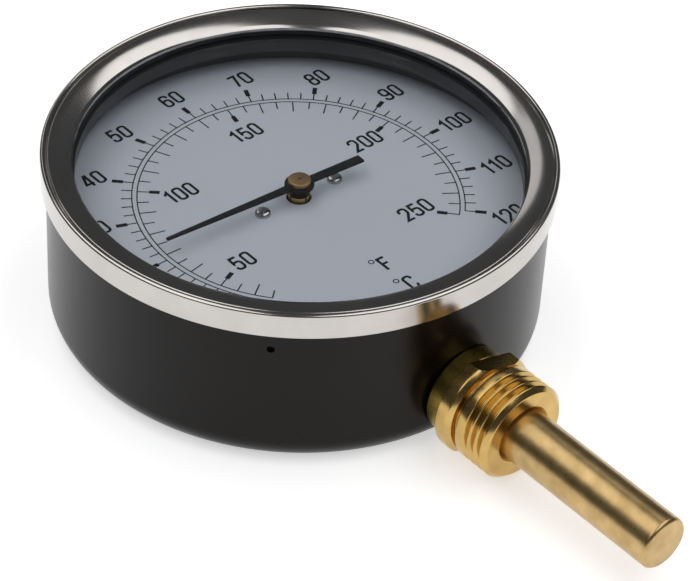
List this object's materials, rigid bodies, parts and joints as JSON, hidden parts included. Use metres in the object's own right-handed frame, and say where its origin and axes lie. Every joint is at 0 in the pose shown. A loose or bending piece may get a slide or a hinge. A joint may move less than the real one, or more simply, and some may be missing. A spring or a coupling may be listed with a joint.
{
  "type": "dial thermometer",
  "caption": "Round bimetal dial thermometer with a steel bezel, bottom stem and a screw-in brass pocket that draws off the stem.",
  "frame": {"origin": "centre of the flat case back", "axes": "+Z out of the dial towards the reader, +Y towards twelve o'clock with the stem along -Y, +X towards three o'clock"},
  "size_m": [0.1049, 0.1599, 0.0392],
  "materials": {
    "case_paint": "gloss black enamel",
    "bezel_steel": "satin rolled",
    "seal_rubber": "matte",
    "window_glass": "clear polished",
    "spacer_plastic": "matte moulded",
    "dial_enamel": "matte white enamel with black print",
    "screw_steel": "bright turned",
    "pointer_black": "matte black",
    "cap_brass": "dull turned",
    "shaft_steel": "ground",
    "movement_brass": "machined",
    "coil_bimetal": "rolled strip",
    "stem_brass": "drawn",
    "neck_brass": "dull turned",
    "pocket_brass": "satin turned"
  },
  "bodies": {
    "case": {"case_shell": "case_paint", "bezel_ring": "bezel_steel", "window_seal": "seal_rubber", "window_glass": "window_glass", "spacer_ring": "spacer_plastic", "dial_plate": "dial_enamel", "dial_screws": "screw_steel", "spindle_bush": "movement_brass", "foot_bearing": "movement_brass", "base_plate": "movement_brass", "movement_pillars": "movement_brass", "bridge_plate": "movement_brass", "dial_posts": "movement_brass", "shaft_bracket": "movement_brass", "bracket_screws": "screw_steel", "shaft_bush": "movement_brass", "bimetal_coil": "coil_bimetal", "coil_anchor": "movement_brass", "stem_tube": "stem_brass", "guide_bush": "movement_brass", "stem_socket": "neck_brass", "socket_nut": "movement_brass", "saddle_washer": "movement_brass"},
    "spindle": {"pointer": "pointer_black", "pointer_cap": "cap_brass", "pointer_spindle": "shaft_steel", "spindle_gear": "movement_brass"},
    "shaft": {"stem_shaft": "shaft_steel", "shaft_gear": "movement_brass", "shaft_collar": "movement_brass", "coil_hub": "movement_brass"},
    "pocket": {"pocket_body": "pocket_brass", "pocket_tube": "pocket_brass", "pocket_screw": "screw_steel"}
  },
  "joints": [
    {"name": "pointer_sweep", "type": "hinge", "parent": "case", "child": "spindle", "pos_m": [0, 0, 0.0113], "axis": [0, 0, -1], "range_deg": [-48.6, 221.4]},
    {"name": "shaft_turn", "type": "hinge", "parent": "case", "child": "shaft", "pos_m": [0, 0, 0.0113], "axis": [0, -1, 0], "range_deg": [-48.6, 221.4]},
    {"name": "pocket_draw", "type": "slide", "parent": "case", "child": "pocket", "axis": [0, -1, 0], "range_m": [0, 0.048]}
  ],
  "couplings": [
    {"joint": "shaft_turn", "follows": "pointer_sweep", "ratio": 1}
  ]
}
